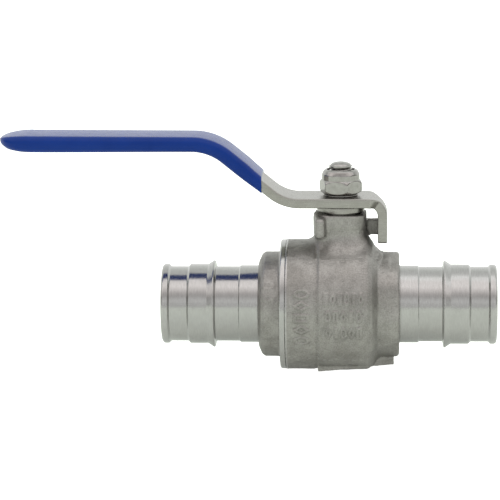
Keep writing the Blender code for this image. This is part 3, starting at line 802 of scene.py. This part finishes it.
def make_o_ring():
    low, high = span("stem_o_ring")
    middle = (low.z + high.z) / 2
    wire = [(O_RING_R + WIRE_R * math.cos(a), middle + WIRE_R * math.sin(a))
            for a in np.linspace(0, 2 * math.pi, 24, endpoint=False)]
    mesh = turned("o_ring", wire, axis="Z", steps=96)
    piece("o_ring", mesh, "handle", (RUBBER,), ["stem_o_ring"])


def make_gland():
    low, high = span("gland_ring")
    step = 32.4
    outline = rounded(
        (SHAFT_R + 0.3, low.z, 0.2), (CHAMBER_R - 0.3, low.z, 0.2), (CHAMBER_R - 0.3, step, 0.1),
        (high.x, step, 0.3), (high.x, high.z, 0.45), (SHAFT_R + 0.3, high.z, 0.2))
    mesh = turned("gland_disc", outline, axis="Z", steps=160)
    piece("gland_disc", mesh, "handle", (STRIP_STEEL,), ["gland_ring"])


# ---- stem, nut and washer --------------------------------------------------------------------
def thread_radius(angle, along, low, high):
    """Radius of a rolled thread with a rounded V, which runs out at both ends."""
    turn = np.mod(along / THREAD_PITCH - angle / (2 * math.pi), 1.0)
    groove = 0.5 + 0.5 * np.cos(2 * math.pi * turn)
    depth = 0.62 * soft_step(along, low, low + 0.8) * (1 - soft_step(along, high - 0.7, high))
    return THREAD_R - depth * groove ** 1.4


def make_stem():
    low, high = span("stem")
    shoulder_low, shoulder_high, shaft_top = 16.4, 19.0, 37.9
    groove_half, groove_r = WIRE_R + 0.3, O_RING_R - WIRE_R - 0.3
    o_ring_z = sum(span("stem_o_ring"), Vector()).z / 2
    flats_low = span("gland_ring")[1].z - 0.2
    dome = [(3.55 * math.sin(a), high.z - 1.35 * (1 - math.cos(a)))
            for a in np.linspace(math.pi / 2, 0.0, 12)]
    thread_top = dome[0][1]
    thread = [(THREAD_R, z) for z in np.arange(shaft_top + 0.5, thread_top - 0.05, 0.09)]
    outline = [
        (0, low.z), (5.3, low.z), (5.3, shoulder_low),
        *rounded((0, shoulder_low, 0), (SHOULDER_R, shoulder_low, 0.3),
                 (SHOULDER_R, shoulder_high, 0.25), (0, shoulder_high, 0))[1:-1],
        (SHAFT_R, shoulder_high), (SHAFT_R, o_ring_z - groove_half),
        (groove_r, o_ring_z - groove_half), (groove_r, o_ring_z + groove_half),
        (SHAFT_R, o_ring_z + groove_half), (SHAFT_R, flats_low - 0.01), (SHAFT_R, flats_low),
        (SHAFT_R, shaft_top - 0.3), (SHAFT_R - 0.3, shaft_top), (THREAD_R, shaft_top + 0.2),
        *thread, *dome]

    def limit(angle, radius, along):
        across_x, across_y = max(abs(math.cos(angle)), 1e-6), max(abs(math.sin(angle)), 1e-6)
        tang = np.minimum(2.5 / across_x, 4.75 / across_y)
        radius = np.where(along < shoulder_low, np.minimum(radius, tang), radius)
        flats = (along >= flats_low) & (along < shaft_top + 0.1)
        radius = np.where(flats, np.minimum(radius, SHAFT_FLAT / across_y), radius)
        threaded = (along > shaft_top + 0.3) & (along < thread_top + 0.01) & (radius > 3)
        return np.where(threaded, thread_radius(angle, along, shaft_top + 0.4, thread_top), radius)

    mesh = turned("threaded_stem", outline, axis="Z", steps=144, limit=limit)
    piece("threaded_stem", mesh, "handle", (FASTENER,), ["stem"], sharp=42)


def make_nut():
    """A hexagon under a round collar that holds the locking insert."""
    low, high = span("lock_nut")
    low.z -= NUT_DROP
    corner = NUT_HALF / math.cos(math.pi / 6)
    outline = divided(rounded(
        (NUT_HOLE_R, low.z, 0.2), (6.0, low.z, 0.15), (6.9, low.z + 0.55, 0.5),
        (corner + 0.1, low.z + 1.3, 0.5), (corner + 0.1, NUT_HEX_TOP - 1.25, 0.6),
        (6.95, NUT_HEX_TOP - 0.35, 0.5), (6.46, NUT_HEX_TOP, 0.15), (6.42, high.z - 1.7, 0.8),
        (5.85, high.z - 0.5, 0.6), (5.1, high.z, 0.45), (4.75, high.z - 0.1, 0.15),
        (4.7, high.z - 0.6, 0.15), (INSERT_R, high.z - 0.7, 0.1), (INSERT_R, NUT_HEX_TOP, 0.1),
        (NUT_HOLE_R, NUT_HEX_TOP, 0.2)), 0.16)

    def hexagon(angle, radius, along):
        past = (angle - NUT_TURN + math.pi / 6) % (math.pi / 3) - math.pi / 6
        side = NUT_HALF / math.cos(past)
        cut = np.maximum(blend_union(radius, side, 0.35), NUT_COLLAR_R)
        return np.where(radius > NUT_COLLAR_R, cut, radius)

    mesh = turned("hexagon_lock_nut", outline, axis="Z", steps=288, limit=hexagon)
    piece("hexagon_lock_nut", mesh, "handle", (FASTENER,), ["lock_nut"], sharp=38)


def make_washer():
    low, high = span("spring_washer")
    low.z, high.z = low.z - NUT_DROP, high.z - NUT_DROP
    lift, edge = 0.03, 0.1
    outline = rounded((NUT_HOLE_R, low.z + lift, edge), (high.x, low.z + lift, edge),
                      (high.x, high.z - lift, edge), (NUT_HOLE_R, high.z - lift, edge), steps=4)
    half_cut = math.radians(6)
    mesh = turned("split_spring_washer", outline, axis="Z", steps=140,
                  sweep=(half_cut, 2 * math.pi - half_cut), rise=2 * lift)
    piece("split_spring_washer", mesh, "handle", (FASTENER,), ["spring_washer"],
          sharp=40)


# ---- lever and grip --------------------------------------------------------------------------
def bent_path(corners, radii):
    """A polyline with its inner corners bent to arcs.

    Gives its points, their distance along it, and each side's angle and middle distance.
    """
    bends = [(*corners[0], 0)]
    bends += [(*corner, radius) for corner, radius in zip(corners[1:-1], radii)]
    bends += [(*corners[-1], 0)]
    points = np.array(rounded(*bends, steps=24))
    steps = np.diff(points, axis=0)
    distance = np.concatenate(([0], np.cumsum(np.linalg.norm(steps, axis=1))))
    angle = np.arctan2(steps[:, 1], steps[:, 0])
    middle = (distance[:-1] + distance[1:]) / 2
    return points, distance, angle, middle


LEVER_PATH = bent_path([(TIP_X, GRIP_Z), (UPPER_BEND_X, GRIP_Z), (LOWER_BEND_X, LEVER_Z),
                        (TAB_X, LEVER_Z), (TAB_X, TAB_BOTTOM)],
                       (UPPER_BEND_R, LOWER_BEND_R, TAB_BEND_R))


def path_distance(x):
    """Distance along the lever where its middle line reaches x."""
    points, distance, _, _ = LEVER_PATH
    straight = np.maximum.accumulate(points[:, 0])
    return float(np.interp(x, straight, distance))


def section(half_width, half_height, corner, crown):
    """A rounded rectangle across the lever, as (sideways, upwards) points."""
    corner = min(corner, half_width * 0.98, half_height * 0.98)
    quarter = [(math.cos(a), math.sin(a)) for a in np.linspace(0, math.pi / 2, 8)]
    flat = np.linspace(half_width - corner, 0, 8)[1:]
    side = [(half_width - corner + corner * c, half_height - corner + corner * s)
            for c, s in quarter]
    right = side + [(y, half_height + crown * (1 - (y / max(half_width - corner, 1e-6)) ** 2))
                    for y in flat]
    upper = right + [(-y, z) for y, z in reversed(right[:-1])]
    return np.array(upper + [(-y, -z) for y, z in upper])


def row(at, wide, high, corner, crown=0.0, lift=0.0, upright=0.0):
    """One ring round the lever: its place along the path, then what section() and swept() use."""
    return at, wide, high, corner, crown, lift, upright


def swept(name, rows):
    """A skin along the lever's path; upright is 1 where a ring stands on end, not square."""
    points, distance, angle, middle = LEVER_PATH
    rings = []
    for at, wide, high, corner, crown, lift, upright in rows:
        overshoot = min(at, 0.0)
        x, z = (np.interp(at, distance, points[:, i]) for i in (0, 1))
        turn = np.interp(at, middle, angle)
        x += overshoot * math.cos(turn)
        z += overshoot * math.sin(turn)
        across, up = section(wide, high, corner, crown).T
        up = up + lift
        lean_x = -math.sin(turn) * (1 - upright)
        lean_z = math.cos(turn) * (1 - upright) + upright / math.cos(turn)
        rings.append(np.column_stack((x + up * lean_x, across, z + up * lean_z)))
    return skin(name, rings, closed_skin=False)


def tip_rows(start, wide, high, reach, corner, crown=0.0, raised=0.0, level=0.0):
    """Rings of a round tip that gets thinner over its last `reach`, its nose `raised`."""
    rows = []
    for a in np.linspace(0.04, math.pi / 2, 22):
        back = wide * (1 - math.cos(a))
        full = math.sqrt(1 - (1 - min(back / reach, 1.0)) ** 2)
        rows.append(row(start + back, wide * math.sin(a), high * full, corner * full, crown * full,
                        level + raised * (1 - full)))
    return rows


def make_lever():
    total, half, corner = LEVER_PATH[1][-1], STRIP / 2, 0.42
    rows = tip_rows(0.0, LEVER_HALF, half, 5.0, corner)
    narrow_start, narrow_end = path_distance(9.8), path_distance(12.6)
    rows += [row(at, LEVER_HALF, half, corner) for at in
             np.arange(LEVER_HALF + 0.8, narrow_start - 0.1, 0.8)]
    for at in np.arange(narrow_start, total - 1.0, 0.3):
        share = float(soft_step(np.array(at), narrow_start, narrow_end))
        rows.append(row(at, LEVER_HALF + (TAB_HALF - LEVER_HALF) * share, half, corner))
    for a in np.linspace(0, math.pi / 2, 6):
        rows.append(row(total - 0.9 + 0.9 * math.sin(a), TAB_HALF - 0.9 * (1 - math.cos(a)),
                        half - 0.25 * (1 - math.cos(a)), corner))
    mesh = swept("bent_lever", rows)
    obj = piece("bent_lever", mesh, "handle", (STRIP_STEEL,), ["lever"], sharp=40)
    outline = [(0, LEVER_Z - 4), (HOLE_R, LEVER_Z - 4), (HOLE_R, LEVER_Z + 4), (0, LEVER_Z + 4)]
    flat = SHAFT_FLAT + 0.3
    hole = new_object("hole", turned(
        "hole", outline, axis="Z", steps=64,
        limit=lambda angle, radius, _: np.minimum(radius, flat / max(abs(math.sin(angle)), 1e-6))))
    cut = obj.modifiers.new("hole", "BOOLEAN")
    cut.object = hole
    cut.solver = "EXACT"
    bpy.context.view_layer.update()
    obj.data = bpy.data.meshes.new_from_object(
        obj.evaluated_get(bpy.context.evaluated_depsgraph_get()))
    obj.modifiers.clear()
    bpy.data.objects.remove(hole, do_unlink=True)


def make_grip():
    """Dipped vinyl over the long end, thicker underneath towards the tip, with its hollow."""
    half, gap = STRIP / 2, SLEEVE_GAP
    cut = path_distance(SLEEVE_CUT_X)
    wide, top, corner, crown = LEVER_HALF + SLEEVE_GROW, half + SLEEVE_GROW, 2.6, 0.12
    tip_high, cut_high = top + 0.06, top - 0.16
    bend = path_distance(UPPER_BEND_X)
    outer = tip_rows(-SLEEVE_GROW, wide, tip_high - crown, 11.0, corner, crown, raised=0.8,
                     level=top - tip_high + GRIP_RISE)
    start = wide - SLEEVE_GROW + 0.6
    for at in np.arange(start, cut - 0.3, 0.7):
        high = tip_high + (cut_high - tip_high) * float(soft_step(np.array(at), start, bend))
        upright = float(soft_step(np.array(at), cut - 11, cut - 1))
        thin = LIP_TAPER * float(soft_step(np.array(at), cut - 9, cut))
        lift = top - high + GRIP_RISE * (1 - min(at / bend, 1.0))
        outer.append(row(at, wide - thin, high - thin - crown, corner, crown, lift, upright))
    wall = (SLEEVE_GROW - LIP_TAPER - gap) / 2
    lip = [row(cut - wall + wall * math.cos(a), wide - LIP_TAPER - wall + wall * math.sin(a),
               cut_high - LIP_TAPER - wall + wall * math.sin(a) - crown, corner - wall, crown,
               top - cut_high, 1)
           for a in np.linspace(math.pi / 2, -math.pi / 2, 9)]
    inner = [row(at, LEVER_HALF + gap, half + gap, 0.8,
                 upright=float(soft_step(np.array(at), cut - 11, cut - 1))) for at in
             np.arange(cut - 1.0, LEVER_HALF + 1.0, -0.8)]
    inner += reversed(tip_rows(-gap, LEVER_HALF + gap, half + gap, 5.2, 0.6))
    mesh = swept("vinyl_grip", outer + lip + inner)
    piece("vinyl_grip", mesh, "handle", (VINYL,), ["grip_sleeve"], sharp=60)


# ---- studio ----------------------------------------------------------------------------------
def make_floor():
    mesh = bpy.data.meshes.new("floor")
    bm = bmesh.new()
    bmesh.ops.create_grid(bm, x_segments=2, y_segments=2, size=6.0)
    bm.to_mesh(mesh)
    bm.free()
    floor = new_object("floor", mesh)
    floor.location.z = CAD_BOX[0].z - 0.0001
    f = Finish("pale_floor", metallic=0.0)
    f.colour(f.ramp(f.noise(40.0), [(0.3, (0.68, 0.74, 0.67)), (0.7, (0.69, 0.75, 0.68))]))
    f.shader.inputs["Roughness"].default_value = 0.9
    f.shader.inputs["Specular IOR Level"].default_value = 0.1
    f.shader.inputs["Emission Color"].default_value = (1.0, 1.0, 0.99, 1)
    seen = f.node("ShaderNodeLightPath").outputs["Is Camera Ray"]
    f.link(f.range(seen, 0.27, 1.0, 0.0, 1.0), f.shader.inputs["Emission Strength"])
    mesh.materials.append(f.material)


SURROUND = [  # degrees above the level in front, brightness, and how green or pink it is
    (-180, 0.95, 0.00), (-130, 0.58, 0.00), (-90, 0.68, 0.03), (-40, 0.80, 0.04),
    (-22, 1.00, 0.02), (-7, 0.86, 0.01), (-3, 0.74, 0.00), (12, 0.80, 0.00), (18, 0.98, 0.00),
    (26, 0.84, 0.00), (34, 0.62, -0.02), (44, 0.78, -0.03), (50, 1.05, -0.03), (60, 1.28, -0.03),
    (84, 1.18, -0.03), (92, 1.50, 0.00), (100, 1.45, 0.00), (107, 0.98, 0.01), (116, 0.90, 0.01),
    (130, 0.86, 0.02), (140, 1.00, 0.02), (165, 1.10, 0.01)]
SURROUND_ENDS = (0.26, 0.26, 0.25, 1)  # the darker ends that the pipe axis points at


def make_surround():
    """A studio surround that changes with the height above the level in front."""
    world = bpy.data.worlds.new("studio")
    bpy.context.scene.world = world
    world.use_nodes = True
    tree = world.node_tree
    new, link = tree.nodes.new, tree.links.new

    def worked_out(operation, *sources):
        node = new("ShaderNodeMath")
        node.operation = operation
        for source, socket in zip(sources, node.inputs):
            if isinstance(source, float):
                socket.default_value = source
            else:
                link(source, socket)
        return node.outputs[0]

    def share(value, low, high):
        node = new("ShaderNodeMapRange")
        node.inputs["From Min"].default_value = low
        node.inputs["From Max"].default_value = high
        link(value, node.inputs["Value"])
        return node.outputs[0]

    direction = new("ShaderNodeSeparateXYZ")
    link(new("ShaderNodeTexCoord").outputs["Generated"], direction.inputs[0])
    front = worked_out("MULTIPLY", direction.outputs["Y"], -1.0)
    angle = worked_out("ARCTAN2", direction.outputs["Z"], front)
    ramp = new("ShaderNodeValToRGB")
    ramp.color_ramp.interpolation = "EASE"
    set_stops(ramp.color_ramp.elements, [
        ((degrees + 180) / 360, (bright * (1 - green), bright * (1 + 0.6 * green),
                                 bright * (1 - 0.8 * abs(green))))
        for degrees, bright, green in SURROUND])
    link(share(angle, -math.pi, math.pi), ramp.inputs[0])
    sideways = worked_out("ABSOLUTE", direction.outputs["X"])
    mix = new("ShaderNodeMix")
    mix.data_type = "RGBA"
    mix.inputs[7].default_value = SURROUND_ENDS
    link(share(sideways, 0.86, 0.985), mix.inputs[0])
    link(ramp.outputs[0], mix.inputs[6])
    link(mix.outputs[2], tree.nodes["Background"].inputs["Color"])


def make_light(name, place, aim, size, power):
    data = bpy.data.lights.new(name, "AREA")
    data.shape = "RECTANGLE"
    data.size, data.size_y = size
    data.energy = power
    light = new_object(name, data)
    light.location = place
    light.rotation_euler = (Vector(aim) - Vector(place)).to_track_quat("-Z", "Y").to_euler()


def make_camera():
    azimuth, elevation, roll = math.radians(3.0), math.radians(11.0), math.radians(-0.47)
    aim, distance = Vector((-0.031, 0, 0.01868)), 0.956
    data = bpy.data.cameras.new("camera")
    data.sensor_width, data.lens = 36, 201.6
    back = Vector((math.sin(azimuth) * math.cos(elevation),
                   -math.cos(azimuth) * math.cos(elevation), math.sin(elevation)))
    camera = new_object("camera", data)
    camera.location = aim + back * distance
    turn = (-back).to_track_quat("-Z", "Y").to_matrix() @ Matrix.Rotation(roll, 3, "Z")
    camera.rotation_euler = turn.to_euler()
    bpy.context.scene.camera = camera


for make in (make_body, make_end_cap, make_nipples, make_ball, make_seats, make_rings, make_o_ring,
             make_gland, make_stem, make_nut, make_washer, make_lever, make_grip, make_floor,
             make_surround):
    make()
make_light("overhead", (-0.03, -0.25, 0.9), (-0.03, 0, 0), (1.0, 0.45), 0.25)
make_camera()
bpy.context.scene.view_settings.view_transform = "Standard"
